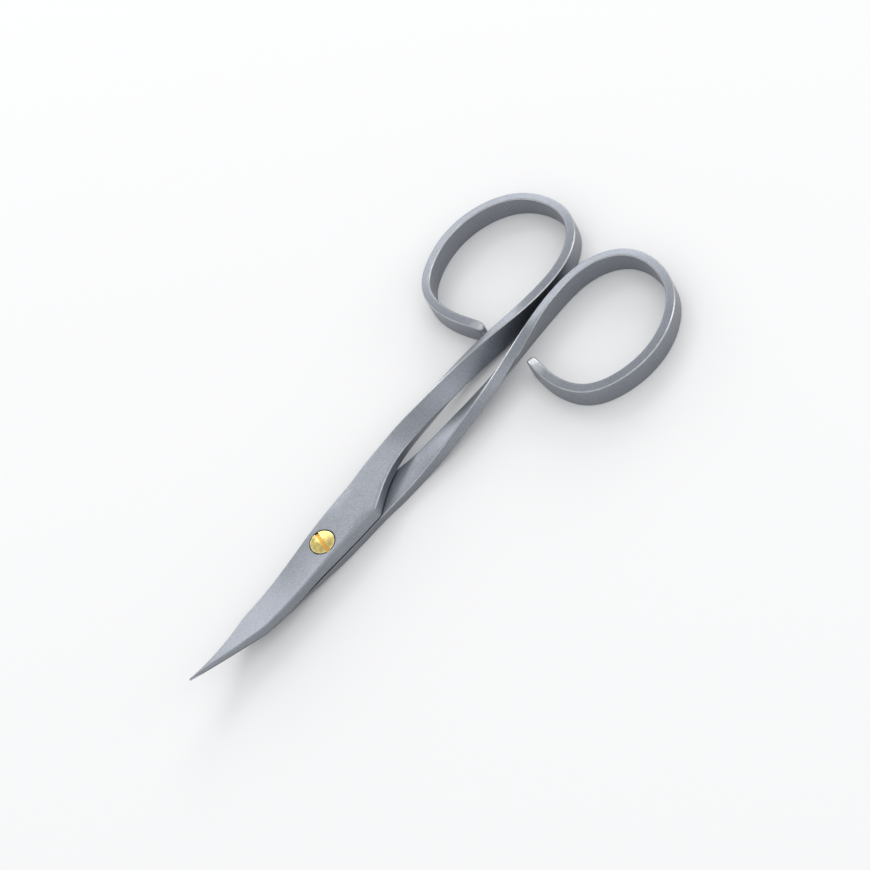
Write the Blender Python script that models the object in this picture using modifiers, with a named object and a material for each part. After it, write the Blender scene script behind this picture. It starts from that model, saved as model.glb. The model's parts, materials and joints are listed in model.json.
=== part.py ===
"""Curved nail scissors: two forged halves crossing on one slotted screw.

Each half is one strip of steel. It is a wedge-shaped blade in front of the
screw, a flat joint at the screw, and behind it a shank that turns through a
quarter turn, so that the finger loop is bent from the same strip on edge.
Lengths are in metres, +Z is up, the blades point to -Y.
"""

import math

import bmesh
import bpy
import numpy as np

# Overall layout, measured from the screw's centre
BLADE_LENGTH = 0.0283
HANDLE_LENGTH = 0.0645
JOINT_BACK_LENGTH = 0.0086
LOOP_WIDTH = 0.0198
LOOP_LENGTH = 0.0238
LOOP_SPACING = 0.0009
SHANK_SPREAD = 0.00295

# The steel strip
JOINT_WIDTH = 0.0070
JOINT_THICKNESS = 0.00185
BAR_WIDTH = 0.00375
BAR_THICKNESS = 0.00143
SIDE_DRAFT = 0.00055
CUTTING_DRAFT = 0.00034
CUTTING_BEVEL = 0.00022
SPINE_OVERHANG = 0.00020
EDGE_CHAMFER = 0.00016
UNDER_CHAMFER = 0.00005
LOOP_END_WIDENING = 0.00025
NOSE_LENGTH = 0.0023
NOSE_DROP = 0.0014
NOSE_CORNER = 0.0009

# The mating faces, which turn about the screw
MATING_GAP = 0.0003
FLAT_RADIUS = 0.0080
TIP_RISE = 0.0037
HOLLOW_DEPTH = 0.00012

# Where each loop's free end stops, measured from the mid plane
UPPER_LOOP_END = 0.0045
LOWER_LOOP_END = 0.0054

# The screw
HEAD_DIAMETER = 0.00385
HEAD_HEIGHT = 0.00068
DOME_HEIGHT = 0.00022
HEAD_CHAMFER = 0.00010
NECK_DIAMETER = 0.0028
THREAD_DIAMETER = 0.0023
THREAD_CHAMFER = 0.00020
SLOT_WIDTH = 0.00056
SLOT_DEPTH = 0.00045
SLOT_ANGLE = math.radians(-16)
HEAD_CLEARANCE = 0.00018
NECK_CLEARANCE = 0.0002
THREAD_CLEARANCE = 0.00015
SEAT_CLEARANCE = 0.0003
SCREW_END_INSET = 0.0001
CUT_OVERRUN = 0.0010

# Blade rows from the tip back to the end of the joint. Each row is the place
# along the blade, half the width at the mating face, the thickness at the
# spine, the thickness at the cutting edge, how far the spine side leans, and
# how far its corner at the mating face stands out.
TAPER_ROW_SHARES = (
    (0.00, 0.03, 0.12, 0.06, 0.05, 0.40),
    (0.08, 0.11, 0.29, 0.12, 0.05, 0.80),
    (0.15, 0.20, 0.39, 0.13, 0.05, 1.00),
    (0.22, 0.30, 0.48, 0.13, 0.05, 1.00),
    (0.29, 0.41, 0.55, 0.14, 0.05, 1.00),
    (0.36, 0.53, 0.67, 0.14, 0.05, 1.00),
    (0.44, 0.70, 0.79, 0.15, 0.05, 1.00),
)
BODY_ROW_SHARES = (
    (0.44, 0.70, 0.79, 0.15, 0.05, 1.00),
    (0.58, 0.77, 0.92, 0.20, 0.05, 1.00),
    (0.68, 0.80, 0.98, 0.30, 0.10, 1.00),
    (0.75, 0.81, 1.00, 0.44, 0.15, 0.60),
    (0.82, 0.83, 1.00, 0.60, 0.30, 0.10),
    (0.91, 0.87, 1.00, 0.77, 0.60, 0.00),
    (1.00, 0.92, 1.00, 0.91, 0.85, 0.00),
    (1.14, 0.98, 1.00, 1.00, 1.00, 0.00),
    (1.30, 1.02, 1.00, 1.00, 0.80, 0.00),
)

# Shank rows from the joint to the loop: the place along the shank, the
# sideways offset, the strip's width, how much of the joint's extra thickness
# is left, the height of its middle, how much of the quarter turn is made, and
# the side lean.
SHANK_ROW_SHARES = (
    (0.00, 0.000, 1.79, 1.00, 1.00, 0.000, 0.80),
    (0.10, 0.450, 1.29, 1.00, 0.99, 0.000, 0.10),
    (0.19, 0.690, 1.01, 0.95, 0.933, 0.027, 0.00),
    (0.28, 0.885, 0.91, 0.95, 0.58, 0.133, 0.00),
    (0.37, 0.975, 0.87, 0.85, 0.24, 0.250, 0.00),
    (0.46, 1.000, 0.86, 0.75, 0.05, 0.383, 0.00),
    (0.55, 0.970, 0.86, 0.80, 0.00, 0.506, 0.00),
    (0.64, 0.870, 0.89, 0.75, 0.00, 0.622, 0.00),
    (0.73, 0.720, 0.94, 0.55, 0.00, 0.750, 0.00),
    (0.82, 0.545, 0.97, 0.30, 0.00, 0.867, 0.00),
    (0.91, 0.425, 1.01, 0.10, 0.00, 0.967, 0.00),
    (1.00, 0.390, 1.00, 0.00, 0.00, 1.000, 0.00),
)

# The loop's centreline, as shares of its width and of its length
LOOP_POINT_SHARES = (
    (0.000, 0.546),
    (0.032, 0.733),
    (0.093, 0.845),
    (0.195, 0.938),
    (0.335, 0.992),
    (0.460, 1.000),
    (0.770, 0.906),
    (0.938, 0.719),
    (1.000, 0.504),
    (0.963, 0.277),
    (0.798, 0.063),
    (0.540, 0.000),
    (0.250, 0.036),
    (0.099, 0.072),
)

# How finely the pieces are made
TAPER_STEPS = 12
BODY_STEPS = 16
SHANK_STEPS = 26
LOOP_STEPS = 56
NOSE_STEPS = 9
PATH_STEPS = 900
ROUND_STEPS = 48
DOME_POINTS = 7
MERGE_DISTANCE = 0.00001
SHARP_ANGLE = math.radians(30)
QUARTER_TURN = math.pi / 2
FACE_POINT_SHARES = (0.25, 0.5, 0.75)
CHAMFER_WALL_SHARE = 0.3
CUTTING_CHAMFER_SHARE = 0.15
NOSE_NARROWING_SHARE = 0.8

# Sizes worked out from the driving dimensions
HALF_GAP = MATING_GAP / 2
PIVOT_Y = (BLADE_LENGTH - HANDLE_LENGTH) / 2
PIVOT_Z = HALF_GAP + JOINT_THICKNESS
BEND_RADIUS = ((BLADE_LENGTH - FLAT_RADIUS) ** 2 + TIP_RISE ** 2) / (2 * TIP_RISE)
LOOP_START_X = (LOOP_SPACING + BAR_THICKNESS) / 2
LOOP_TOP_Y = HANDLE_LENGTH - BAR_THICKNESS / 2
LOOP_LOW_Y = LOOP_TOP_Y - LOOP_LENGTH
LOOP_START_Y = LOOP_LOW_Y + LOOP_POINT_SHARES[0][1] * LOOP_LENGTH
HEAD_SEAT_Z = HALF_GAP + JOINT_THICKNESS - HEAD_HEIGHT
COUNTERBORE_Z = HEAD_SEAT_Z - SEAT_CLEARANCE


def level_slopes(knots, values):
    """Slopes at the knots that keep the curve between its neighbours."""
    rates = np.diff(values) / np.diff(knots)
    slopes = np.zeros(len(knots))
    slopes[0] = rates[0]
    slopes[-1] = rates[-1]
    for k in range(1, len(knots) - 1):
        if rates[k - 1] * rates[k] > 0:
            slopes[k] = 2 * rates[k - 1] * rates[k] / (rates[k - 1] + rates[k])
    return slopes


def flowing_slopes(knots, values):
    """Slopes at the knots that let the curve bend evenly all along."""
    steps = np.diff(knots)
    rates = np.diff(values) / steps
    count = len(knots)
    system = np.eye(count)
    sums = np.zeros(count)
    sums[0] = rates[0]
    sums[-1] = rates[-1]
    for k in range(1, count - 1):
        system[k, k - 1:k + 2] = (steps[k], 2 * (steps[k - 1] + steps[k]), steps[k - 1])
        sums[k] = 3 * (rates[k - 1] * steps[k] + rates[k] * steps[k - 1])
    return np.linalg.solve(system, sums)


def smooth_value(knots, values, at, slopes_from):
    """Cubic interpolation through the knots, with the slopes asked for."""
    knots = np.asarray(knots, dtype=float)
    values = np.asarray(values, dtype=float)
    at = np.clip(at, knots[0], knots[-1])
    slopes = slopes_from(knots, values)
    index = np.clip(np.searchsorted(knots, at, side="right") - 1, 0, len(knots) - 2)
    span = knots[index + 1] - knots[index]
    t = (at - knots[index]) / span
    start = (1 + 2 * t) * (1 - t) ** 2
    start_slope = t * (1 - t) ** 2 * span
    end = t ** 2 * (3 - 2 * t)
    end_slope = t ** 2 * (t - 1) * span
    return (start * values[index] + start_slope * slopes[index]
            + end * values[index + 1] + end_slope * slopes[index + 1])


def rise(u, y):
    """Height of the blades' mating surface, the same all round the screw's axis."""
    reach = min(math.hypot(u, y), BLADE_LENGTH) - FLAT_RADIUS
    if reach <= 0 or y > 0:
        return 0
    return BEND_RADIUS - math.sqrt(BEND_RADIUS ** 2 - reach ** 2)


def limited(chamfer, *walls):
    """A chamfer no larger than its share of the thinnest wall beside it."""
    return min(chamfer, *(CHAMFER_WALL_SHARE * wall for wall in walls))


def chamfered_outline(corners, chamfers, top_sag, bottom_sag):
    """Turn four corners into one closed outline with flattened corners.

    The corners run outer top, inner top, inner bottom, outer bottom. The sags
    move the middles of the top and bottom faces straight up or down.
    """
    corners = [np.array(corner, dtype=float) for corner in corners]
    walls = [np.linalg.norm(corners[k] - corners[k - 1]) for k in range(4)]
    outline = []
    for k, corner in enumerate(corners):
        before = corners[k - 1]
        after = corners[(k + 1) % 4]
        size = limited(chamfers[k], walls[k], walls[(k + 1) % 4])
        into = corner + (before - corner) / np.linalg.norm(before - corner) * size
        out_of = corner + (after - corner) / np.linalg.norm(after - corner) * size
        outline.extend([into, out_of])
        if k in (0, 2):
            sag = top_sag if k == 0 else bottom_sag
            far_size = limited(chamfers[k + 1], walls[k + 1], walls[(k + 2) % 4])
            far = after + (corner - after) / np.linalg.norm(corner - after) * far_size
            for share in FACE_POINT_SHARES:
                bulge = 4 * share * (1 - share)
                outline.append(out_of + (far - out_of) * share + np.array([0, sag * bulge]))
    return outline


def blade_station(row, y, level):
    """One slice of the blade or joint; level is 1 above the mating face, -1 below."""
    _, width_share, spine_share, edge_share, lean_share, overhang_share = row
    half_width = width_share * JOINT_WIDTH / 2
    spine = spine_share * JOINT_THICKNESS
    edge = edge_share * JOINT_THICKNESS
    spine_lean = lean_share * SIDE_DRAFT
    edge_lean = CUTTING_BEVEL + (CUTTING_DRAFT - CUTTING_BEVEL) * lean_share
    edge_lean = min(edge_lean, half_width)

    def mating(u):
        return rise(u, y) + level * HALF_GAP

    def outer_face(u, thickness):
        return rise(u, y) + level * (HALF_GAP + thickness)

    mating_cut = (half_width, mating(half_width))
    mating_spine = (-half_width - overhang_share * SPINE_OVERHANG, mating(half_width))
    face_cut = (half_width - edge_lean, outer_face(half_width, edge))
    face_spine = (-half_width + spine_lean, outer_face(half_width, spine))
    ground_share = 1 - min(1, max(0, (edge_share - BODY_ROW_SHARES[1][3])
                                  / (1 - BODY_ROW_SHARES[1][3])))
    hollow = level * min(HOLLOW_DEPTH, CHAMFER_WALL_SHARE * edge) * ground_share
    face_chamfer = EDGE_CHAMFER if level > 0 else UNDER_CHAMFER
    blunt_share = CUTTING_CHAMFER_SHARE + (1 - CUTTING_CHAMFER_SHARE) * (1 - ground_share)
    middle_drop = rise(0, y) - rise(half_width, y)
    if level > 0:
        corners = (face_cut, face_spine, mating_spine, mating_cut)
        chamfers = (face_chamfer * blunt_share, face_chamfer, UNDER_CHAMFER, UNDER_CHAMFER * blunt_share)
        outline = chamfered_outline(corners, chamfers, middle_drop, middle_drop + hollow)
    else:
        corners = (mating_cut, mating_spine, face_spine, face_cut)
        chamfers = (UNDER_CHAMFER * blunt_share, UNDER_CHAMFER, face_chamfer, face_chamfer * blunt_share)
        outline = chamfered_outline(corners, chamfers, middle_drop + hollow, middle_drop)
    return [(u, y, z) for u, z in outline]


def blade_stations(level):
    """Slices from the tip to the back of the joint."""
    stations = []
    for rows, steps, first in ((TAPER_ROW_SHARES, TAPER_STEPS, 0), (BODY_ROW_SHARES, BODY_STEPS, 1)):
        table = np.array(rows)
        places = np.linspace(table[0, 0], table[-1, 0], steps + 1)
        for place in places[first:]:
            row = [float(smooth_value(table[:, 0], table[:, k], place, level_slopes))
                   for k in range(6)]
            y = (place - 1) * BLADE_LENGTH
            if place > 1:
                y = (place - 1) / (table[-1, 0] - 1) * JOINT_BACK_LENGTH
            stations.append(blade_station(row, y, level))
    return stations


def strip_outline(width, thickness, turn, lean, level):
    """The strip's slice about its own middle, turned by an angle from flat.

    Turned on edge, the outer corners become the top ones, so the softer
    chamfers pass from the inner top corner to the outer bottom corner.
    """
    half_thickness = thickness / 2
    top_half = (width - level * lean) / 2
    bottom_half = (width + level * lean) / 2
    corners = ((top_half, half_thickness), (-top_half, half_thickness),
               (-bottom_half, -half_thickness), (bottom_half, -half_thickness))
    on_edge_share = min(1, max(0, turn / QUARTER_TURN))
    rising = UNDER_CHAMFER + (EDGE_CHAMFER - UNDER_CHAMFER) * on_edge_share
    sinking = EDGE_CHAMFER + (UNDER_CHAMFER - EDGE_CHAMFER) * on_edge_share
    outline = chamfered_outline(corners, (EDGE_CHAMFER, sinking, UNDER_CHAMFER, rising), 0, 0)
    cosine = math.cos(turn)
    sine = math.sin(turn)
    return [(p * cosine - q * sine, p * sine + q * cosine) for p, q in outline]


def handle_path():
    """The strip's centreline from the joint, along the shank and round the loop.

    Returns the path's lengths, its places, and the length where the loop starts.
    """
    rows = np.array(SHANK_ROW_SHARES)
    shank = np.column_stack([rows[:, 1] * SHANK_SPREAD,
                             JOINT_BACK_LENGTH + rows[:, 0] * (LOOP_START_Y - JOINT_BACK_LENGTH)])
    shank[-1, 0] = LOOP_START_X
    loop = np.array(LOOP_POINT_SHARES[1:]) * (LOOP_WIDTH, LOOP_LENGTH) + (LOOP_START_X, LOOP_LOW_Y)
    points = np.vstack([shank, loop])
    knots = np.concatenate([[0], np.cumsum(np.linalg.norm(np.diff(points, axis=0), axis=1))])
    lengths = np.linspace(0, knots[-1], PATH_STEPS)
    places = np.column_stack([smooth_value(knots, points[:, k], lengths, flowing_slopes)
                              for k in range(2)])
    return lengths, places, knots[len(shank) - 1]


def rounding(share):
    """How far a quarter-round end has dropped: 1 at its end and 0 where it starts."""
    return 1 - math.sqrt(1 - (1 - min(1, max(0, share))) ** 2)


def handle_stations(level, end_x):
    """Slices along the shank and round the loop to its rounded free end."""
    lengths, places, loop_start = handle_path()
    far_side = int(np.argmax(places[:, 0]))
    end = lengths[far_side + int(np.argmax(places[far_side:, 0] < end_x))]
    table = np.array(SHANK_ROW_SHARES)
    shank_lengths = np.linspace(0, loop_start, SHANK_STEPS + 1)[1:]
    loop_lengths = np.linspace(loop_start, end - NOSE_LENGTH, LOOP_STEPS + 1)[1:]
    nose_turns = np.linspace(0, QUARTER_TURN, NOSE_STEPS + 1)[1:]
    nose_lengths = end - NOSE_LENGTH * (1 - np.sin(nose_turns))
    stations = []
    for length in shank_lengths:
        x, y = (float(np.interp(length, lengths, places[:, k])) for k in range(2))
        along = (y - JOINT_BACK_LENGTH) / (LOOP_START_Y - JOINT_BACK_LENGTH)
        width, thickness, height, turn, lean = (
            float(smooth_value(table[:, 0], table[:, k], along, flowing_slopes)) for k in range(2, 7))
        outline = strip_outline(
            width * BAR_WIDTH,
            BAR_THICKNESS + thickness * (JOINT_THICKNESS - BAR_THICKNESS),
            turn * QUARTER_TURN, lean * SIDE_DRAFT, level)
        middle = level * height * (HALF_GAP + JOINT_THICKNESS / 2)
        stations.append([(x + p, y, middle + q) for p, q in outline])
    for length in np.concatenate([loop_lengths, nose_lengths]):
        x, y = (float(np.interp(length, lengths, places[:, k])) for k in range(2))
        index = min(int(np.searchsorted(lengths, length)), len(lengths) - 2)
        step = places[index + 1] - places[index - 1]
        along = step / np.linalg.norm(step)
        round_share = (length - loop_start) / (end - loop_start)
        width = BAR_WIDTH + LOOP_END_WIDENING * round_share ** 2
        width -= 2 * NOSE_DROP * rounding((end - length) / NOSE_LENGTH)
        thickness = BAR_THICKNESS * (1 - NOSE_NARROWING_SHARE * rounding((end - length) / NOSE_CORNER))
        outline = strip_outline(width, thickness, QUARTER_TURN, 0, level)
        stations.append([(x + along[1] * p, y - along[0] * p, q) for p, q in outline])
    return stations


def loft(name, stations, side):
    """Join the slices into one closed mesh, handles to the side given."""
    mesh = bpy.data.meshes.new(name)
    shape = bmesh.new()
    rings = [[shape.verts.new((side * u, y, z)) for u, y, z in station] for station in stations]
    count = len(rings[0])
    for ring, following in zip(rings, rings[1:]):
        for k in range(count):
            after = (k + 1) % count
            shape.faces.new((ring[k], ring[after], following[after], following[k]))
    shape.faces.new(rings[0])
    shape.faces.new(rings[-1])
    bmesh.ops.recalc_face_normals(shape, faces=shape.faces)
    shape.to_mesh(mesh)
    shape.free()
    part = bpy.data.objects.new(name, mesh)
    part.location = (0, PIVOT_Y, PIVOT_Z)
    return part


def material(name, colour, roughness):
    """A plain metal for one piece."""
    metal = bpy.data.materials.new(name)
    metal.use_nodes = True
    shader = metal.node_tree.nodes["Principled BSDF"]
    shader.inputs["Base Color"].default_value = (*colour, 1)
    shader.inputs["Metallic"].default_value = 1
    shader.inputs["Roughness"].default_value = roughness
    return metal


def put_in(item, collection):
    """Move an object to one collection."""
    for other in list(item.users_collection):
        other.objects.unlink(item)
    collection.objects.link(item)


def cutter_cylinder(name, radius, low, high, cutters):
    """An upright cylinder on the screw's axis that cuts and doesn't show."""
    bpy.ops.mesh.primitive_cylinder_add(
        vertices=ROUND_STEPS, radius=radius, depth=high - low,
        location=(0, PIVOT_Y, PIVOT_Z + (low + high) / 2))
    cutter = bpy.context.object
    cutter.name = name
    put_in(cutter, cutters)
    cutter.display_type = "WIRE"
    cutter.hide_render = True
    return cutter


def cut(part, cutter):
    """Take the cutter away from the part, kept as a live modifier."""
    step = part.modifiers.new(cutter.name, "BOOLEAN")
    step.operation = "DIFFERENCE"
    step.solver = "EXACT"
    step.object = cutter


def shade_round(part):
    """Smooth shading with the chamfers and corners left crisp."""
    part.data.shade_smooth()
    part.data.set_sharp_from_angle(angle=SHARP_ANGLE)


def build_half(name, side, level, loop_end, metal, parts):
    """One half: blade, joint, shank and loop in a single loft."""
    stations = blade_stations(level) + handle_stations(level, loop_end)
    half = loft(name, stations, side)
    half.data.materials.append(metal)
    shade_round(half)
    parts.objects.link(half)
    return half


def build_screw(metal, parts, cutters):
    """The screw: domed slotted head, plain neck and threaded end, turned."""
    head = HEAD_DIAMETER / 2
    neck = NECK_DIAMETER / 2
    thread = THREAD_DIAMETER / 2
    rim_z = HEAD_SEAT_Z + HEAD_HEIGHT
    neck_end_z = -HALF_GAP + SEAT_CLEARANCE / 2
    end_z = -HALF_GAP - JOINT_THICKNESS + SCREW_END_INSET
    dome_radius = (head ** 2 + DOME_HEIGHT ** 2) / (2 * DOME_HEIGHT)
    dome_centre_z = rim_z + DOME_HEIGHT - dome_radius
    dome = []
    for k in range(DOME_POINTS):
        r = (head - HEAD_CHAMFER) * k / (DOME_POINTS - 1)
        dome.append((r, dome_centre_z + math.sqrt(dome_radius ** 2 - r ** 2)))
    profile = dome + [
        (head, dome[-1][1] - HEAD_CHAMFER),
        (head, HEAD_SEAT_Z),
        (neck, HEAD_SEAT_Z),
        (neck, neck_end_z),
        (thread, neck_end_z),
        (thread, end_z + THREAD_CHAMFER),
        (thread - THREAD_CHAMFER, end_z),
        (0, end_z),
    ]
    mesh = bpy.data.meshes.new("pivot_screw")
    edges = [(k, k + 1) for k in range(len(profile) - 1)]
    mesh.from_pydata([(r, 0, z) for r, z in profile], edges, [])
    screw = bpy.data.objects.new("pivot_screw", mesh)
    screw.location = (0, PIVOT_Y, PIVOT_Z)
    parts.objects.link(screw)
    turn = screw.modifiers.new("turned", "SCREW")
    turn.steps = ROUND_STEPS
    turn.render_steps = ROUND_STEPS
    turn.use_merge_vertices = True
    turn.merge_threshold = MERGE_DISTANCE
    screw.data.materials.append(metal)

    slot_top = rim_z + DOME_HEIGHT + CUT_OVERRUN
    slot_low = rim_z + DOME_HEIGHT - SLOT_DEPTH
    bpy.ops.mesh.primitive_cube_add(
        size=1, location=(0, PIVOT_Y, PIVOT_Z + (slot_top + slot_low) / 2), rotation=(0, 0, SLOT_ANGLE))
    slot = bpy.context.object
    slot.name = "slot_cutter"
    slot.scale = (HEAD_DIAMETER + 2 * CUT_OVERRUN, SLOT_WIDTH, slot_top - slot_low)
    put_in(slot, cutters)
    slot.display_type = "WIRE"
    slot.hide_render = True
    cut(screw, slot)
    return screw


def main():
    for item in list(bpy.data.objects):
        bpy.data.objects.remove(item, do_unlink=True)
    parts = bpy.data.collections.new("nail_scissors")
    cutters = bpy.data.collections.new("cutters")
    bpy.context.scene.collection.children.link(parts)
    bpy.context.scene.collection.children.link(cutters)

    satin_steel = material("satin_steel", (0.34, 0.36, 0.39), 0.42)
    lower_steel = material("lower_satin_steel", (0.33, 0.35, 0.38), 0.42)
    gilt_brass = material("gilt_brass", (0.85, 0.70, 0.32), 0.18)

    upper = build_half("upper_blade_half", -1, 1, UPPER_LOOP_END, satin_steel, parts)
    lower = build_half("lower_blade_half", 1, -1, LOWER_LOOP_END, lower_steel, parts)
    build_screw(gilt_brass, parts, cutters)

    joint_top = HALF_GAP + JOINT_THICKNESS
    counterbore = cutter_cylinder("counterbore_cutter", HEAD_DIAMETER / 2 + HEAD_CLEARANCE,
                                  COUNTERBORE_Z, joint_top + CUT_OVERRUN, cutters)
    neck_hole = cutter_cylinder("neck_hole_cutter", NECK_DIAMETER / 2 + NECK_CLEARANCE,
                                -CUT_OVERRUN, joint_top, cutters)
    thread_hole = cutter_cylinder("thread_hole_cutter", THREAD_DIAMETER / 2 + THREAD_CLEARANCE,
                                  -joint_top - CUT_OVERRUN, CUT_OVERRUN, cutters)
    cut(upper, counterbore)
    cut(upper, neck_hole)
    cut(lower, thread_hole)


main()
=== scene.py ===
import json
import math
from itertools import combinations

import bmesh
import bpy
import numpy as np
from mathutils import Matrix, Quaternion, Vector


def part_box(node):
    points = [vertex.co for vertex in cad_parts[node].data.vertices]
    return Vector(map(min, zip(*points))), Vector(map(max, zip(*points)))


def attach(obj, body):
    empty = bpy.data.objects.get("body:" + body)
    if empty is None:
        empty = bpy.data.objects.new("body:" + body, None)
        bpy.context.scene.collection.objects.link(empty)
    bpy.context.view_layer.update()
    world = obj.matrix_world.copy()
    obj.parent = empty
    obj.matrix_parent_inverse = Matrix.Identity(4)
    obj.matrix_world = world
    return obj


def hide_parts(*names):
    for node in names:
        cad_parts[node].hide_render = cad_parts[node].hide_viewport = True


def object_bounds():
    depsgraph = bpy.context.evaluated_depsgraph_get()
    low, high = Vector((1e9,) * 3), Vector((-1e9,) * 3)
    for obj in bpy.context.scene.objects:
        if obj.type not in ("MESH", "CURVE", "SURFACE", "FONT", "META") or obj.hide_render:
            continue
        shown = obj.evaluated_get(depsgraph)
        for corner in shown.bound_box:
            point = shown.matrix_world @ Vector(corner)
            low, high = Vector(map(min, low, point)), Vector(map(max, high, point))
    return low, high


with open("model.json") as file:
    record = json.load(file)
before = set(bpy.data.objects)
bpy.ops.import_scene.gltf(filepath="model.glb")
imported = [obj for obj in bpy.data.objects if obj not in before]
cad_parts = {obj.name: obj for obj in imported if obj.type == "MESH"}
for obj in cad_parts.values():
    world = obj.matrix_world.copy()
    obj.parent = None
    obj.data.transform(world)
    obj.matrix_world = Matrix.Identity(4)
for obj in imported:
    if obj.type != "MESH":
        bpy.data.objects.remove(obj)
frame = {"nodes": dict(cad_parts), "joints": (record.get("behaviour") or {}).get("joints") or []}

bl_info = {
    "name": "Nail Scissors",
    "version": (1, 0, 0),
    "blender": (4, 5, 0),
    "location": "3D View > Sidebar > Nail Scissors",
    "description": "Satin steel halves, a gilt screw and a studio round the packed nail scissors",
    "category": "Object",
}

# What the frame says. Lengths are in metres, +Z is up and the blades point to -Y.
PIVOT = Vector(frame["joints"][0]["pos_m"])
SCREW_LOW, SCREW_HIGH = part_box("pivot_screw")
HEAD_RADIUS = (SCREW_HIGH.x - SCREW_LOW.x) / 2
CAD_LOW, CAD_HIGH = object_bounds()

# Each half: the piece, its node, its body, its material slot, its side, which is 1 where
# the mating face looks down and -1 where it looks up, and the length of the filed end of
# its finger loop, which gets polish and a painted highlight.
HALVES = (
    ("upper_half_steel", "upper_blade_half", "upper_half", "upper_steel", 1, 0.0022),
    ("lower_half_steel", "lower_blade_half", "lower_half", "lower_steel", -1, 0.0044),
)

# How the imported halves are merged, divided and rounded
WELD_DISTANCE = 0.000002
QUAD_FACE_ANGLE = math.radians(20)
QUAD_SHAPE_ANGLE = math.radians(180)
CORNER_ANGLE = math.radians(14)
SMOOTH_ANGLE = math.radians(40)
BEVEL_SEGMENTS = 2

# The finger loops lie beyond LOOP_LOW_Y. The near bar is the part of a loop that comes
# back to its free end; it lies beside the shank, farther out than SHANK_SIDE.
LOOP_LENGTH = 0.0255
LOOP_LOW_Y = CAD_HIGH.y - LOOP_LENGTH
NEAR_BAR_DEPTH = 0.004
SHANK_SIDE = 0.0042

# The lengths over which shapes and finishes fade in along a half
SHANK_FADE = 0.004
HANDLED_FADE = 0.0015
GROUND_FADE = 0.0015
FILED_GLINT_FADE_SHARE = 0.4

# How far up a surface has to face, or how far towards the other half for a ground face:
# 0 is upright and 1 is level. A pair is where a finish starts and where it is full.
TOP_FACING = 0.2
GROUND_FACING = (0.75, 0.95)
# The filed tops of the loops' free ends get polish and a painted highlight between these facings.
FILED_GLINT_FACING = (0.1, 0.4)

# How strongly edge wear with its painted highlight, grain and grinding show in the steel, as shares of
# their full effect.
# A range is the noise value where a mark starts and the one where it is full.
SHANK_WEAR_AND_GLINT = 0.6
# Polish and a painted highlight on the filed ends of the loops
FILED_END_GLINT = 0.78
RUB_SHARE = 0.35
RUB_RANGE = (0.35, 0.60)
GRAIN_SHARE = 0.75
GRAIN_RANGE = (0.30, 0.70)
CLOUD_SHARE = 0.4
GRIND_SHARE = 1.4
GRIND_BUMP_SHARE = 0.5

# How far the grain and the clouds change the steel's roughness
GRAIN_ROUGHNESS = 0.10
CLOUD_ROUGHNESS = 0.06

# Rubs are smaller than clouds, the grinding lines are drawn out along X, and each noise
# has this much of finer noise in it.
RUBS_PER_CLOUD = 6
GRIND_STRETCH = (0.04, 1, 1)
NOISE_ROUGHNESS = 0.55

# How strongly rubs, turning marks and the slot show in the gilding. The last three shares
# are those of the turning marks, the rubs and the polishing marks in its bumps.
GILT_RUB_RANGE = (0.36, 0.62)
GILT_RUB_SHARE = 0.9
GILT_RUB_ROUGHNESS = 0.14
TURNED_ROUGHNESS = 0.03
GROOVE_ROUGHNESS = 0.26
GILT_BUMP_DEPTH = 0.000004
GILT_BUMP_SHARES = (0.35, 0.5, 0.15)

# The darkest and the lightest tint of each finish, as shares of its colour
STEEL_TINTS = (0.80, 1.20)
GROUND_TINTS = (0.88, 1.12)
GILT_TINTS = (0.74, 1.06)

# A Wave node at scale 1 makes one ring in this distance
WAVE_PERIOD = 2 * math.pi / 20

# How finely the screw is turned, and how its thread and slot are cut
STEPS_PER_TURN = 10
RIM_STEPS = 4
DOME_STEPS = 14
THREAD_RUN_OUT_SHARE = 1.2
THREAD_STEEPNESS = 1.3
CUT_OVERRUN = 0.0005

# How far the floor lies below the scissors, how far off the soft boxes stand, and the
# camera's sensor in millimetres and clipping distances
FLOOR_GAP = 0.00002
SOFTBOX_DISTANCE = 1.2
SENSOR_WIDTH = 36
CLIP_START = 0.01
CLIP_END = 20

# Each soft box: its name, its azimuth from +X towards +Y and its elevation in
# degrees, its width and height in metres and its power in watts.
SOFTBOXES = (
    ("back_softbox", 150, 40, 0.60, 0.52, 1.40),
    ("low_back_softbox", 150, 15, 0.60, 0.45, 0.80),
    ("low_tip_softbox", 122, 17, 0.60, 0.45, 3.80),
    ("low_left_softbox", 180, 12, 0.60, 0.45, 1.75),
    ("low_loop_softbox", 60, 12, 0.60, 0.45, 1.62),
    ("key_softbox", 166, 42, 0.16, 0.16, 0.44),
    ("right_softbox", 25, 48, 0.60, 0.60, 0.75),
)


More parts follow.
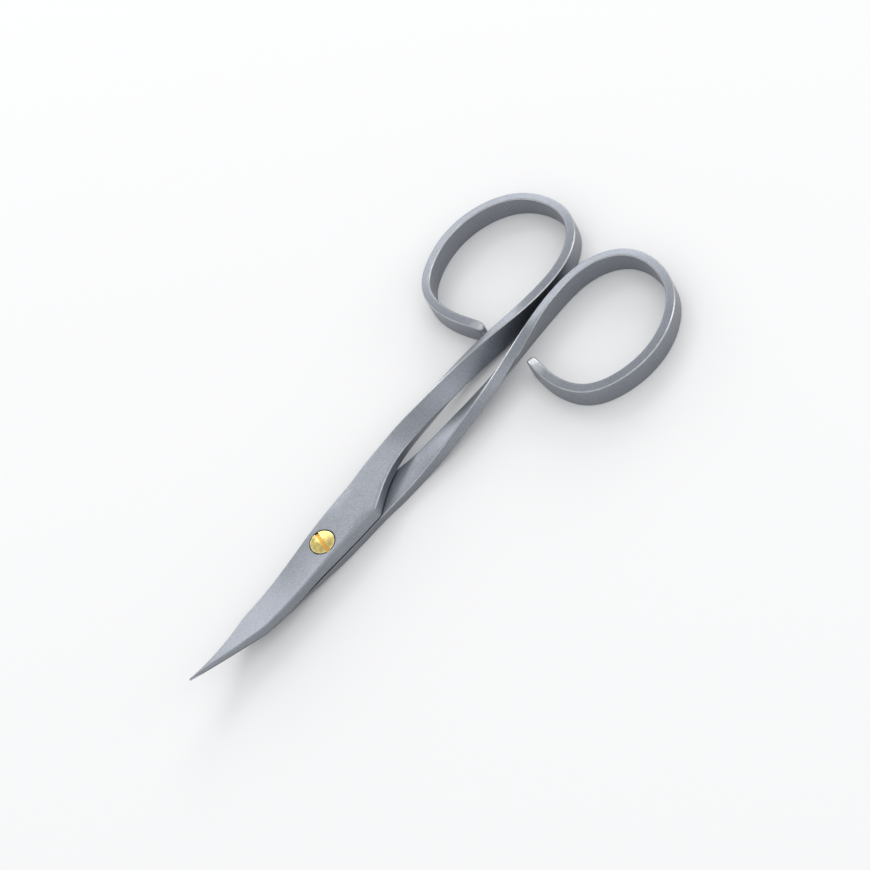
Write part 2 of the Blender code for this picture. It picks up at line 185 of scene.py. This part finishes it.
class SteelSettings(bpy.types.PropertyGroup):
    """Finish of the two steel halves."""

    upper_colour: bpy.props.FloatVectorProperty(
        name="Upper half", description="Colour of the upper half's blasted steel",
        subtype="COLOR", min=0, max=1, default=(0.276, 0.291, 0.322))
    lower_colour: bpy.props.FloatVectorProperty(
        name="Lower half", description="Colour of the lower half's blasted steel",
        subtype="COLOR", min=0, max=1, default=(0.272, 0.287, 0.318))
    # Polish and a painted highlight: this colour lightens the chamfers and the loops' free ends in place
    # of a lamp's reflection.
    worn_and_glint_colour: bpy.props.FloatVectorProperty(
        name="Worn edges", description="Colour of the steel where handling has polished an edge",
        subtype="COLOR", min=0, max=1, default=(0.52, 0.53, 0.54))
    ground_colour: bpy.props.FloatVectorProperty(
        name="Ground faces", description="Colour of the blades' ground mating faces",
        subtype="COLOR", min=0, max=1, default=(0.33, 0.345, 0.365))
    roughness: bpy.props.FloatProperty(
        name="Roughness", description="Roughness of the blasted steel",
        subtype="FACTOR", min=0, max=1, default=0.40)
    worn_roughness: bpy.props.FloatProperty(
        name="Worn roughness", description="Roughness of a polished edge",
        subtype="FACTOR", min=0, max=1, default=0.32)
    ground_roughness: bpy.props.FloatProperty(
        name="Ground roughness", description="Roughness of the ground mating faces",
        subtype="FACTOR", min=0, max=1, default=0.26)
    grain_size: bpy.props.FloatProperty(
        name="Grain", description="Size of one dimple left by the blasting",
        unit="LENGTH", precision=6, min=0.00002, default=0.00017)
    grain_depth: bpy.props.FloatProperty(
        name="Grain depth", description="Depth of one dimple",
        unit="LENGTH", precision=6, min=0, default=0.000008)
    cloud_size: bpy.props.FloatProperty(
        name="Clouds", description="Size of the faint uneven patches in the finish",
        unit="LENGTH", precision=5, min=0.0005, default=0.0032)
    grind_spacing: bpy.props.FloatProperty(
        name="Grinding lines", description="Distance between the grinding lines on the mating faces",
        unit="LENGTH", precision=6, min=0.00002, default=0.00009)
    # Where the chamfers are lightened, by polish and by a painted highlight.
    chamfer_width: bpy.props.FloatProperty(
        name="Chamfer width", description="The widest chamfer that handling has polished",
        unit="LENGTH", precision=6, min=0.00001, default=0.00028)
    handled_from: bpy.props.FloatProperty(
        name="Handled from", description="How far behind the screw the polished chamfers start",
        unit="LENGTH", precision=5, min=0, default=0.0080)
    loop_fall: bpy.props.FloatProperty(
        name="Loop fall", description="How much lower a finger loop's outer edge lies than its inner one",
        unit="LENGTH", precision=6, min=0, default=0.00022)
    edge_radius: bpy.props.FloatProperty(
        name="Edge radius", description="Rounding left on each edge by the blasting",
        unit="LENGTH", precision=6, min=0.000005, default=0.00003)
    levels: bpy.props.IntProperty(
        name="Smoothing", description="How often each facet is divided along the bends",
        min=1, max=3, default=2)


class ScrewSettings(bpy.types.PropertyGroup):
    """Shape and finish of the pivot screw."""

    colour: bpy.props.FloatVectorProperty(
        name="Gilding", description="Colour of the polished gilding",
        subtype="COLOR", min=0, max=1, default=(0.72, 0.575, 0.21))
    # A painted highlight: the head's whole rim is lightened as its reflection of the lamps would be.
    rim_highlight_colour: bpy.props.FloatVectorProperty(
        name="Rim", description="Colour of the rubbed rim of the head",
        subtype="COLOR", min=0, max=1, default=(0.95, 0.80, 0.38))
    # Painted shade and painted reflection: the slot is darkened and turned orange, as its shade and the
    # gold's reflections inside it would make it.
    groove_shade_colour: bpy.props.FloatVectorProperty(
        name="Slot", description="Colour of the gilding inside the slot",
        subtype="COLOR", min=0, max=1, default=(0.72, 0.42, 0.10))
    roughness: bpy.props.FloatProperty(
        name="Roughness", description="Roughness of the gilding",
        subtype="FACTOR", min=0, max=1, default=0.22)
    patch_size: bpy.props.FloatProperty(
        name="Patches", description="Size of the dull patches in the gilding",
        unit="LENGTH", precision=5, min=0.0001, default=0.0006)
    turning_spacing: bpy.props.FloatProperty(
        name="Turning marks", description="Distance between the rings left by the lathe",
        unit="LENGTH", precision=6, min=0.00002, default=0.00044)
    polish_size: bpy.props.FloatProperty(
        name="Polishing marks", description="Size of the finest marks left by polishing",
        unit="LENGTH", precision=6, min=0.00002, default=0.00007)
    head_height: bpy.props.FloatProperty(
        name="Head height", description="Height of the head's straight wall",
        unit="LENGTH", precision=5, min=0.0001, default=0.00068)
    dome_height: bpy.props.FloatProperty(
        name="Dome height", description="How far the head's middle stands above its wall",
        unit="LENGTH", precision=5, min=0.00005, default=0.00022)
    rim_radius: bpy.props.FloatProperty(
        name="Rim radius", description="Rounding of the head's rim",
        unit="LENGTH", precision=6, min=0.00001, default=0.00010)
    neck_diameter: bpy.props.FloatProperty(
        name="Neck", description="Diameter of the plain neck that the upper half turns on",
        unit="LENGTH", precision=5, min=0.001, default=0.0028)
    thread_diameter: bpy.props.FloatProperty(
        name="Thread", description="Outside diameter of the thread",
        unit="LENGTH", precision=5, min=0.001, default=0.0023)
    thread_pitch: bpy.props.FloatProperty(
        name="Pitch", description="Distance from one turn of the thread to the next",
        unit="LENGTH", precision=5, min=0.0001, default=0.0004)
    thread_depth: bpy.props.FloatProperty(
        name="Thread depth", description="Depth of the thread's groove",
        unit="LENGTH", precision=5, min=0, default=0.00020)
    slot_width: bpy.props.FloatProperty(
        name="Slot width", description="Width of the screwdriver slot",
        unit="LENGTH", precision=5, min=0.0001, default=0.00056)
    slot_depth: bpy.props.FloatProperty(
        name="Slot depth", description="Depth of the slot below the dome's top",
        unit="LENGTH", precision=5, min=0.0001, default=0.00052)
    slot_angle: bpy.props.FloatProperty(
        name="Slot angle", description="How far the slot is turned from the X axis",
        subtype="ANGLE", default=math.radians(-16))
    edge_radius: bpy.props.FloatProperty(
        name="Edge radius", description="Rounding of the slot's edges and of the lower end",
        unit="LENGTH", precision=6, min=0.000005, default=0.00003)
    segments: bpy.props.IntProperty(
        name="Segments", description="How many sides the turned shapes have",
        min=24, max=192, default=96)


class StageSettings(bpy.types.PropertyGroup):
    """Floor, light and camera."""

    floor_colour: bpy.props.FloatVectorProperty(
        name="Floor", description="Colour of the plain pale floor",
        subtype="COLOR", min=0, max=1, default=(0.900, 0.890, 0.880))
    floor_size: bpy.props.FloatProperty(
        name="Floor size", description="Width of the floor",
        unit="LENGTH", min=0.5, default=6.0)
    sky_colour: bpy.props.FloatVectorProperty(
        name="Surroundings", description="Colour of the studio all round",
        subtype="COLOR", min=0, max=1, default=(0.955, 0.975, 1.0))
    sky_strength: bpy.props.FloatProperty(
        name="Surroundings strength", description="Brightness of the studio all round",
        min=0, default=0.850)
    lamp_level: bpy.props.FloatProperty(
        name="Soft boxes", description="Level of all the soft boxes together; 1 is as planned",
        subtype="FACTOR", min=0, soft_max=2, default=1.0)
    aim: bpy.props.FloatVectorProperty(
        name="Aim", description="The point that the camera looks at",
        subtype="TRANSLATION", unit="LENGTH", precision=5, default=(0.00104, 0.005415, 0.0020))
    azimuth: bpy.props.FloatProperty(
        name="Azimuth", description="Where the camera stands round the scissors; 0 looks along +Y",
        subtype="ANGLE", default=math.radians(69.728))
    elevation: bpy.props.FloatProperty(
        name="Elevation", description="How high the camera stands above the horizon",
        subtype="ANGLE", default=math.radians(52.976))
    roll: bpy.props.FloatProperty(
        name="Roll", description="How far the camera is turned about its line of sight",
        subtype="ANGLE", default=math.radians(-31.991))
    distance: bpy.props.FloatProperty(
        name="Distance", description="From the camera to the point it looks at",
        unit="LENGTH", min=0.1, default=0.5209)
    lens: bpy.props.FloatProperty(
        name="Lens", description="Focal length on a sensor 36 millimetres wide",
        unit="CAMERA", min=10, default=144.83)


def select_only(piece):
    """Make one object active and the only one selected."""
    bpy.ops.object.select_all(action="DESELECT")
    piece.select_set(True)
    bpy.context.view_layer.objects.active = piece


def apply_modifiers(piece):
    """Apply every modifier in order."""
    select_only(piece)
    for modifier in list(piece.modifiers):
        bpy.ops.object.modifier_apply(modifier=modifier.name)


def clamped(value):
    """The value, or 0 or 1 where it is below or above them."""
    return min(1, max(0, value))


def ramp(value, start, full):
    """0 up to the start, 1 from the full value on and even in between."""
    return clamped((value - start) / (full - start))


def soften_edges(piece, radius, angle):
    """Round every edge sharper than the angle and smooth the shading."""
    bevel = piece.modifiers.new("soft edges", "BEVEL")
    bevel.width = radius
    bevel.segments = BEVEL_SEGMENTS
    bevel.limit_method = "ANGLE"
    bevel.angle_limit = angle
    bevel.harden_normals = False
    apply_modifiers(piece)
    bpy.ops.object.shade_smooth_by_angle(angle=SMOOTH_ANGLE)


class Value:
    """A number that varies over a surface; sums, differences and products add Math nodes."""

    def __init__(self, shader, socket):
        self.shader = shader
        self.socket = socket

    def combine(self, operation, first, second):
        """Add a Math node for two values or numbers."""
        made = self.shader.node("Math", {0: first, 1: second}, operation=operation)
        return Value(self.shader, made.outputs[0])

    def __add__(self, other):
        return self.combine("ADD", self, other)

    def __radd__(self, other):
        return self.combine("ADD", other, self)

    def __sub__(self, other):
        return self.combine("SUBTRACT", self, other)

    def __rsub__(self, other):
        return self.combine("SUBTRACT", other, self)

    def __mul__(self, other):
        return self.combine("MULTIPLY", self, other)

    def __rmul__(self, other):
        return self.combine("MULTIPLY", other, self)

    def between(self, low, high):
        """0 at and below the low value, 1 at and above the high one, smooth between."""
        made = self.shader.node(
            "MapRange", {"Value": self, "From Min": low, "From Max": high},
            interpolation_type="SMOOTHSTEP")
        return Value(self.shader, made.outputs["Result"])

    def swing(self, amount):
        """The difference from a half, times the amount."""
        return (self - 0.5) * amount

    def towards(self, other, share):
        """The value moved towards another by a share."""
        return self + share * (other - self)


class Shader:
    """A material and the few ways in which this script adds nodes to it."""

    def __init__(self, name):
        self.material = bpy.data.materials.new(name)
        self.material.use_nodes = True
        self.tree = self.material.node_tree
        self.principled = self.tree.nodes["Principled BSDF"]

    def node(self, kind, inputs, **settings):
        """Add a node: its settings come first, then the values or links of its sockets."""
        made = self.tree.nodes.new("ShaderNode" + kind)
        for name, setting in settings.items():
            setattr(made, name, setting)
        for key, value in inputs.items():
            self.feed(made.inputs[key], value)
        return made

    def feed(self, socket, value):
        """Link a socket to a value, or set it."""
        if isinstance(value, Value):
            self.tree.links.new(value.socket, socket)
        elif isinstance(value, bpy.types.NodeSocket):
            self.tree.links.new(value, socket)
        else:
            socket.default_value = value

    def place(self):
        """The point on the surface, in metres."""
        return self.node("TexCoord", {}).outputs["Object"]

    def noise(self, place, size, detail=2.0, stretch=(1, 1, 1)):
        """Noise from 0 to 1 whose lumps are about as large as the size."""
        mapped = self.node("Mapping", {"Vector": place, "Scale": stretch})
        made = self.node("TexNoise", {
            "Vector": mapped.outputs["Vector"], "Scale": 1 / size, "Detail": detail,
            "Roughness": NOISE_ROUGHNESS})
        return Value(self, made.outputs["Fac"])

    def attribute(self, name):
        """A value stored on the piece's points or faces."""
        return Value(self, self.node("Attribute", {}, attribute_name=name).outputs["Fac"])

    def mix(self, share, first, second):
        """The first colour where the share is 0, the second where it is 1."""
        made = self.node("Mix", {"Factor": share, "A": first, "B": second}, data_type="RGBA")
        return made.outputs["Result"]

    def finish(self, colour, roughness, bumps, depth):
        """Link the finished colour, roughness and bumps."""
        bump = self.node("Bump", {"Height": bumps, "Distance": depth, "Strength": 1.0})
        self.feed(self.principled.inputs["Base Color"], colour)
        self.feed(self.principled.inputs["Roughness"], roughness)
        self.feed(self.principled.inputs["Normal"], bump.outputs["Normal"])
        self.principled.inputs["Metallic"].default_value = 1
        return self.material


def tinted(colour, tint=1):
    """A colour times a tint, ready for a colour socket."""
    return (*(min(1, part * tint) for part in colour), 1)


def blasted_steel(name, colour, steel):
    """Satin steel: fine blasted grain, faint clouds, ground mating faces, and chamfers and loop ends
    lightened by polish and by a painted highlight.
    """
    shader = Shader(name)
    place = shader.place()
    grain = shader.noise(place, steel.grain_size, detail=3.0)
    clouds = shader.noise(place, steel.cloud_size)
    rubs = shader.noise(place, steel.cloud_size / RUBS_PER_CLOUD, detail=3.0)
    lines = shader.noise(place, steel.grind_spacing, stretch=GRIND_STRETCH)
    ground = shader.attribute("ground_face")
    # The chamfers and the loops' free ends get a painted highlight on top of their polish.
    worn_and_glint = shader.attribute("edge_wear_and_glint") * (1 - RUB_SHARE + RUB_SHARE * rubs.between(*RUB_RANGE))
    worn_and_glint = worn_and_glint.towards(FILED_END_GLINT, shader.attribute("filed_end_glint"))

    shade = 0.5 + grain.between(*GRAIN_RANGE).swing(GRAIN_SHARE) + clouds.swing(CLOUD_SHARE)
    blasted_colour = shader.mix(shade, *(tinted(colour, tint) for tint in STEEL_TINTS))
    ground_shade = 0.5 + lines.swing(GRIND_SHARE)
    ground_colour = shader.mix(
        ground_shade, *(tinted(steel.ground_colour, tint) for tint in GROUND_TINTS))
    surface_colour = shader.mix(ground, blasted_colour, ground_colour)
    # Painted highlight and polish: the worn colour lightens the chamfers and the free ends.
    surface_colour = shader.mix(worn_and_glint, surface_colour, tinted(steel.worn_and_glint_colour))

    roughness = steel.roughness + grain.swing(GRAIN_ROUGHNESS) + clouds.swing(CLOUD_ROUGHNESS)
    roughness = roughness.towards(steel.ground_roughness, ground)
    roughness = roughness.towards(steel.worn_roughness, worn_and_glint)
    bumps = grain.towards(lines * GRIND_BUMP_SHARE, ground)
    return shader.finish(surface_colour, roughness, bumps, steel.grain_depth)


def gilding(name, screw):
    """Polished gilding with turning marks and small rubs, painted shade and reflection in the slot and a
    painted highlight on the rim.
    """
    shader = Shader(name)
    place = shader.place()
    centred = shader.node("Mapping", {"Vector": place, "Location": (-PIVOT.x, -PIVOT.y, 0)})
    rings = shader.node(
        "TexWave", {"Vector": centred.outputs["Vector"], "Scale": WAVE_PERIOD / screw.turning_spacing,
                    "Distortion": 0.6, "Detail": 2.0, "Detail Scale": 1.5},
        wave_type="RINGS", rings_direction="Z")
    turned = Value(shader, rings.outputs["Fac"])
    rubs = shader.noise(place, screw.patch_size, detail=3.0)
    fine = shader.noise(place, screw.polish_size)
    groove = shader.attribute("slot_depth")
    rim = shader.attribute("rim")

    shade = turned.towards(rubs.between(*GILT_RUB_RANGE), GILT_RUB_SHARE)
    gilt = shader.mix(shade, *(tinted(screw.colour, tint) for tint in GILT_TINTS))
    # Painted highlight on the head's rim.
    gilt = shader.mix(rim, gilt, tinted(screw.rim_highlight_colour))
    # Painted shade and painted reflection in the slot.
    colour = shader.mix(groove, gilt, tinted(screw.groove_shade_colour))
    roughness = (
        screw.roughness + rubs.swing(GILT_RUB_ROUGHNESS) + turned.swing(TURNED_ROUGHNESS)
        + groove * GROOVE_ROUGHNESS)
    turned_bump, rub_bump, fine_bump = GILT_BUMP_SHARES
    bumps = turned * turned_bump + rubs * rub_bump + fine * fine_bump
    return shader.finish(colour, roughness, bumps, GILT_BUMP_DEPTH)


def plain_finish(name, colour, roughness):
    """The floor's even finish."""
    shader = Shader(name)
    shader.principled.inputs["Base Color"].default_value = (*colour, 1)
    shader.principled.inputs["Roughness"].default_value = roughness
    shader.principled.inputs["Specular IOR Level"].default_value = 0
    return shader.material


def copied_half(name, node):
    """A copy of a packed half with its loose triangles joined into four-sided faces."""
    mesh = frame["nodes"][node].data.copy()
    mesh.name = name
    mesh.materials.clear()
    piece = bpy.data.objects.new(name, mesh)
    bpy.context.scene.collection.objects.link(piece)
    select_only(piece)
    bpy.ops.mesh.customdata_custom_splitnormals_clear()
    bpy.ops.object.mode_set(mode="EDIT")
    bpy.ops.mesh.select_all(action="SELECT")
    bpy.ops.mesh.remove_doubles(threshold=WELD_DISTANCE)
    bpy.ops.mesh.tris_convert_to_quads(
        face_threshold=QUAD_FACE_ANGLE, shape_threshold=QUAD_SHAPE_ANGLE)
    bpy.ops.object.mode_set(mode="OBJECT")
    return piece


def hold_corners(piece):
    """Crease each corner edge, so that dividing smooths the bends and keeps the corners."""
    shape = bmesh.new()
    shape.from_mesh(piece.data)
    crease = shape.edges.layers.float.new("crease_edge")
    for edge in shape.edges:
        if edge.calc_face_angle(0) > CORNER_ANGLE:
            edge[crease] = 1
    shape.to_mesh(piece.data)
    shape.free()


def settle_loop(piece, fall):
    """Let the top of the finger loop fall outwards a little, as polishing leaves it."""
    points = [corner for corner in piece.data.vertices if corner.co.y > LOOP_LOW_Y]
    middle = Vector([
        (min(corner.co[k] for corner in points) + max(corner.co[k] for corner in points)) / 2
        for k in range(2)])
    drops = []
    for corner in points:
        if corner.normal.z > TOP_FACING:
            outward = corner.normal.xy.dot(corner.co.xy - middle)
            from_shank = max(corner.co.y - LOOP_LOW_Y, abs(corner.co.x))
            share = ramp(from_shank, SHANK_FADE, 2 * SHANK_FADE)
            drops.append((corner, math.copysign(fall / 2, outward) * share))
    for corner, drop in drops:
        corner.co.z -= drop


def closest(points):
    """The smallest distance between any two of the points."""
    return min(((first - second).length for first, second in combinations(points, 2)), default=math.inf)


def mark_chamfers(piece, steel):
    """Store on each narrow chamfer behind the joint how far it is lightened, by polish and by a painted
    highlight.
    """
    shape = bmesh.new()
    shape.from_mesh(piece.data)
    wear = shape.faces.layers.float.new("edge_wear_and_glint")
    start = PIVOT.y + steel.handled_from
    for face in shape.faces:
        corner_middles = [
            (edge.verts[0].co + edge.verts[1].co) / 2
            for edge in face.edges if edge.calc_face_angle(0) > CORNER_ANGLE]
        if closest(corner_middles) < steel.chamfer_width:
            along = face.calc_center_median().y
            full_wear = 1 if along > LOOP_LOW_Y else SHANK_WEAR_AND_GLINT
            face[wear] = full_wear * ramp(along, start, start + HANDLED_FADE)
    shape.to_mesh(piece.data)
    shape.free()


def store(piece, name, values):
    """Keep one value for each point of the piece."""
    attribute = piece.data.attributes.new(name, "FLOAT", "POINT")
    attribute.data.foreach_set("value", np.asarray(values, dtype=np.float32))


def mark_ground_face(piece, side):
    """Store which points lie on the blade's ground mating face, fading out at the joint."""
    joint_end = PIVOT.y - HEAD_RADIUS
    values = [
        ramp(-side * corner.normal.z, *GROUND_FACING) * ramp(joint_end - corner.co.y, 0, GROUND_FADE)
        for corner in piece.data.vertices]
    store(piece, "ground_face", values)


def mark_filed_end_glint(piece, length):
    """Store which points on top of the loop's free end get polish and a painted highlight."""
    near_bar = [
        corner for corner in piece.data.vertices
        if abs(corner.co.x) > SHANK_SIDE and LOOP_LOW_Y < corner.co.y < LOOP_LOW_Y + NEAR_BAR_DEPTH]
    end = min(abs(corner.co.x) for corner in near_bar)
    values = [0] * len(piece.data.vertices)
    for corner in near_bar:
        before_edge = end + length - abs(corner.co.x)
        values[corner.index] = (
            ramp(corner.normal.z, *FILED_GLINT_FACING) * ramp(before_edge, 0, FILED_GLINT_FADE_SHARE * length))
    store(piece, "filed_end_glint", values)


class NAILSCISSORS_OT_halves(bpy.types.Operator):
    """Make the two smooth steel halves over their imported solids"""

    bl_idname = "nail_scissors.halves"
    bl_label = "Steel halves"

    def execute(self, context):
        steel = context.scene.nail_scissors_steel
        for name, node, body, slot, side, filed_glint_length in HALVES:
            piece = copied_half(name, node)
            settle_loop(piece, steel.loop_fall)
            mark_chamfers(piece, steel)
            hold_corners(piece)
            smoothing = piece.modifiers.new("smooth bends", "SUBSURF")
            smoothing.levels = steel.levels
            smoothing.render_levels = steel.levels
            apply_modifiers(piece)
            soften_edges(piece, steel.edge_radius, SMOOTH_ANGLE / 2)
            mark_ground_face(piece, side)
            mark_filed_end_glint(piece, filed_glint_length)
            colour = steel.upper_colour if side > 0 else steel.lower_colour
            piece.data.materials.append(blasted_steel(name + "_finish", colour, steel))
            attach(piece, body)
            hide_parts(node)
        return {"FINISHED"}


def screw_profile(screw):
    """Radii and heights of the screw from its lower end to the top of its dome."""
    neck = screw.neck_diameter / 2
    thread = screw.thread_diameter / 2
    dome_base = SCREW_HIGH.z - screw.dome_height
    seat = dome_base - screw.head_height
    neck_end = PIVOT.z
    low = SCREW_LOW.z
    thread_steps = round((neck_end - low) / screw.thread_pitch * STEPS_PER_TURN)
    profile = [(thread, low + (neck_end - low) * k / thread_steps) for k in range(thread_steps + 1)]
    profile += [(neck, neck_end), (neck, seat), (HEAD_RADIUS, seat)]
    rim_centre = HEAD_RADIUS - screw.rim_radius
    for k in range(RIM_STEPS + 1):
        turn = math.pi / 2 * k / RIM_STEPS
        profile.append((
            rim_centre + screw.rim_radius * math.cos(turn),
            dome_base + screw.rim_radius * (math.sin(turn) - 1)))
    dome_radius = (rim_centre ** 2 + screw.dome_height ** 2) / (2 * screw.dome_height)
    dome_centre = SCREW_HIGH.z - dome_radius
    for k in range(1, DOME_STEPS):
        radius = rim_centre * (1 - k / DOME_STEPS)
        profile.append((radius, dome_centre + math.sqrt(dome_radius ** 2 - radius ** 2)))
    return profile


def turned_screw(name, screw):
    """Draw the screw up from its lower end, one ring after another."""
    profile = screw_profile(screw)
    radius, height = profile[0]
    bpy.ops.object.select_all(action="DESELECT")
    bpy.ops.mesh.primitive_circle_add(
        vertices=screw.segments, radius=radius, fill_type="NGON",
        location=(PIVOT.x, PIVOT.y, height))
    piece = bpy.context.object
    piece.name = name
    piece.data.name = name
    bpy.ops.object.transform_apply(location=True, rotation=True, scale=True)
    bpy.ops.object.mode_set(mode="EDIT")
    for next_radius, next_height in profile[1:]:
        bpy.ops.mesh.extrude_region_move(
            TRANSFORM_OT_translate={"value": (0, 0, next_height - height)})
        if next_radius != radius:
            share = next_radius / radius
            bpy.ops.transform.resize(
                value=(share, share, 1), center_override=(PIVOT.x, PIVOT.y, next_height))
        radius = next_radius
        height = next_height
    bpy.ops.mesh.select_all(action="SELECT")
    bpy.ops.mesh.remove_doubles(threshold=WELD_DISTANCE)
    bpy.ops.mesh.normals_make_consistent(inside=False)
    bpy.ops.object.mode_set(mode="OBJECT")
    return piece


def cut_thread(piece, screw):
    """Draw the points of the threaded end in along a helix."""
    outside = screw.thread_diameter / 2
    run_out = THREAD_RUN_OUT_SHARE * screw.thread_pitch
    for corner in piece.data.vertices:
        flat = Vector((corner.co.x - PIVOT.x, corner.co.y - PIVOT.y))
        if abs(flat.length - outside) > WELD_DISTANCE or corner.co.z > PIVOT.z - WELD_DISTANCE:
            continue
        turn = math.atan2(flat.y, flat.x) / (2 * math.pi)
        phase = (corner.co.z / screw.thread_pitch - turn) % 1
        groove = 1 - abs(2 * phase - 1)
        groove = clamped(0.5 + THREAD_STEEPNESS * (groove - 0.5))
        fade = clamped((PIVOT.z - corner.co.z) / run_out)
        lead = clamped(1 - (corner.co.z - SCREW_LOW.z) / screw.thread_pitch)
        depth = screw.thread_depth * max(groove * fade, lead)
        flat *= (outside - depth) / flat.length
        corner.co.x = PIVOT.x + flat.x
        corner.co.y = PIVOT.y + flat.y


def cut_slot(piece, screw):
    """Take the screwdriver slot out of the head."""
    floor = SCREW_HIGH.z - screw.slot_depth
    top = SCREW_HIGH.z + CUT_OVERRUN
    length = 2 * HEAD_RADIUS + 2 * CUT_OVERRUN
    bpy.ops.object.select_all(action="DESELECT")
    bpy.ops.mesh.primitive_cube_add(
        size=1, location=(PIVOT.x, PIVOT.y, (floor + top) / 2),
        rotation=(0, 0, screw.slot_angle), scale=(length, screw.slot_width, top - floor))
    cutter = bpy.context.object
    slot = piece.modifiers.new("slot", "BOOLEAN")
    slot.operation = "DIFFERENCE"
    slot.solver = "EXACT"
    slot.object = cutter
    apply_modifiers(piece)
    bpy.data.objects.remove(cutter, do_unlink=True)


def mark_head(piece, screw):
    """Store how deep in the slot each point lies, and which points lie on the rim."""
    along = Vector((math.cos(screw.slot_angle), math.sin(screw.slot_angle), 0))
    dome_base = SCREW_HIGH.z - screw.dome_height
    floor = SCREW_HIGH.z - screw.slot_depth
    rim_start = HEAD_RADIUS - screw.rim_radius
    depths = []
    rims = []
    for corner in piece.data.vertices:
        place = corner.co - PIVOT
        beside_slot = abs(place.cross(along).z) - screw.slot_width / 2
        depth = (dome_base - corner.co.z) / (dome_base - floor)
        in_slot = beside_slot < screw.edge_radius and depth < 1 + screw.edge_radius / screw.slot_depth
        depths.append(clamped(depth) if in_slot else 0)
        on_rim = place.xy.length > rim_start and corner.co.z > dome_base - 2 * screw.rim_radius
        rims.append(1 if on_rim else 0)
    store(piece, "slot_depth", depths)
    store(piece, "rim", rims)


class NAILSCISSORS_OT_screw(bpy.types.Operator):
    """Turn the pivot screw, with its dome, slot and thread"""

    bl_idname = "nail_scissors.screw"
    bl_label = "Pivot screw"

    def execute(self, context):
        screw = context.scene.nail_scissors_screw
        piece = turned_screw("slotted_screw", screw)
        cut_thread(piece, screw)
        cut_slot(piece, screw)
        soften_edges(piece, screw.edge_radius, SMOOTH_ANGLE)
        mark_head(piece, screw)
        piece.data.materials.clear()
        piece.data.materials.append(gilding("screw_gilding", screw))
        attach(piece, "lower_half")
        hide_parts("pivot_screw")
        return {"FINISHED"}


def add_softbox(name, azimuth, elevation, width, height, power):
    """A soft box that faces the origin; its azimuth turns from +X towards +Y."""
    towards = Vector((
        math.cos(azimuth) * math.cos(elevation),
        math.sin(azimuth) * math.cos(elevation),
        math.sin(elevation)))
    bpy.ops.object.select_all(action="DESELECT")
    bpy.ops.object.light_add(type="AREA", location=towards * SOFTBOX_DISTANCE)
    lamp = bpy.context.object
    lamp.name = name
    lamp.rotation_euler = (-towards).to_track_quat("-Z", "Y").to_euler()
    lamp.data.shape = "RECTANGLE"
    lamp.data.size = width
    lamp.data.size_y = height
    lamp.data.energy = power


class NAILSCISSORS_OT_stage(bpy.types.Operator):
    """Set up the pale floor, the soft studio light and the camera"""

    bl_idname = "nail_scissors.stage"
    bl_label = "Floor, light and camera"

    def execute(self, context):
        stage = context.scene.nail_scissors_stage
        bpy.ops.object.select_all(action="DESELECT")
        bpy.ops.mesh.primitive_plane_add(size=stage.floor_size, location=(0, 0, -FLOOR_GAP))
        floor = bpy.context.object
        floor.name = "floor"
        floor.data.materials.append(plain_finish("floor_paper", stage.floor_colour, 1.0))

        world = context.scene.world or bpy.data.worlds.new("studio")
        context.scene.world = world
        world.use_nodes = True
        background = world.node_tree.nodes["Background"]
        background.inputs["Color"].default_value = (*stage.sky_colour, 1)
        background.inputs["Strength"].default_value = stage.sky_strength

        for name, azimuth, elevation, width, height, power in SOFTBOXES:
            add_softbox(
                name, math.radians(azimuth), math.radians(elevation), width, height,
                power * stage.lamp_level)

        back = Vector((
            math.sin(stage.azimuth) * math.cos(stage.elevation),
            -math.cos(stage.azimuth) * math.cos(stage.elevation),
            math.sin(stage.elevation)))
        bpy.ops.object.select_all(action="DESELECT")
        bpy.ops.object.camera_add(location=Vector(stage.aim) + back * stage.distance)
        camera = bpy.context.object
        camera.rotation_mode = "QUATERNION"
        camera.rotation_quaternion = (
            (-back).to_track_quat("-Z", "Y") @ Quaternion((0, 0, 1), stage.roll))
        camera.data.lens = stage.lens
        camera.data.sensor_width = SENSOR_WIDTH
        camera.data.clip_start = CLIP_START
        camera.data.clip_end = CLIP_END
        context.scene.camera = camera
        context.scene.view_settings.view_transform = "Standard"
        return {"FINISHED"}


class NAILSCISSORS_PT_panel(bpy.types.Panel):
    """Sizes, colours and steps of the nail scissors"""

    bl_label = "Nail Scissors"
    bl_idname = "NAILSCISSORS_PT_panel"
    bl_space_type = "VIEW_3D"
    bl_region_type = "UI"
    bl_category = "Nail Scissors"

    def draw(self, context):
        scene = context.scene
        for operator, settings in (
                (NAILSCISSORS_OT_halves, scene.nail_scissors_steel),
                (NAILSCISSORS_OT_screw, scene.nail_scissors_screw),
                (NAILSCISSORS_OT_stage, scene.nail_scissors_stage)):
            box = self.layout.box()
            box.operator(operator.bl_idname)
            for name in settings.bl_rna.properties.keys():
                if name not in ("rna_type", "name"):
                    box.prop(settings, name)


CLASSES = (
    SteelSettings,
    ScrewSettings,
    StageSettings,
    NAILSCISSORS_OT_halves,
    NAILSCISSORS_OT_screw,
    NAILSCISSORS_OT_stage,
    NAILSCISSORS_PT_panel,
)


def register():
    for item in CLASSES:
        bpy.utils.register_class(item)
    bpy.types.Scene.nail_scissors_steel = bpy.props.PointerProperty(type=SteelSettings)
    bpy.types.Scene.nail_scissors_screw = bpy.props.PointerProperty(type=ScrewSettings)
    bpy.types.Scene.nail_scissors_stage = bpy.props.PointerProperty(type=StageSettings)


def unregister():
    del bpy.types.Scene.nail_scissors_stage
    del bpy.types.Scene.nail_scissors_screw
    del bpy.types.Scene.nail_scissors_steel
    for item in reversed(CLASSES):
        bpy.utils.unregister_class(item)


def main():
    register()
    bpy.ops.nail_scissors.halves()
    bpy.ops.nail_scissors.screw()
    bpy.ops.nail_scissors.stage()


if __name__ == "__main__":
    main()
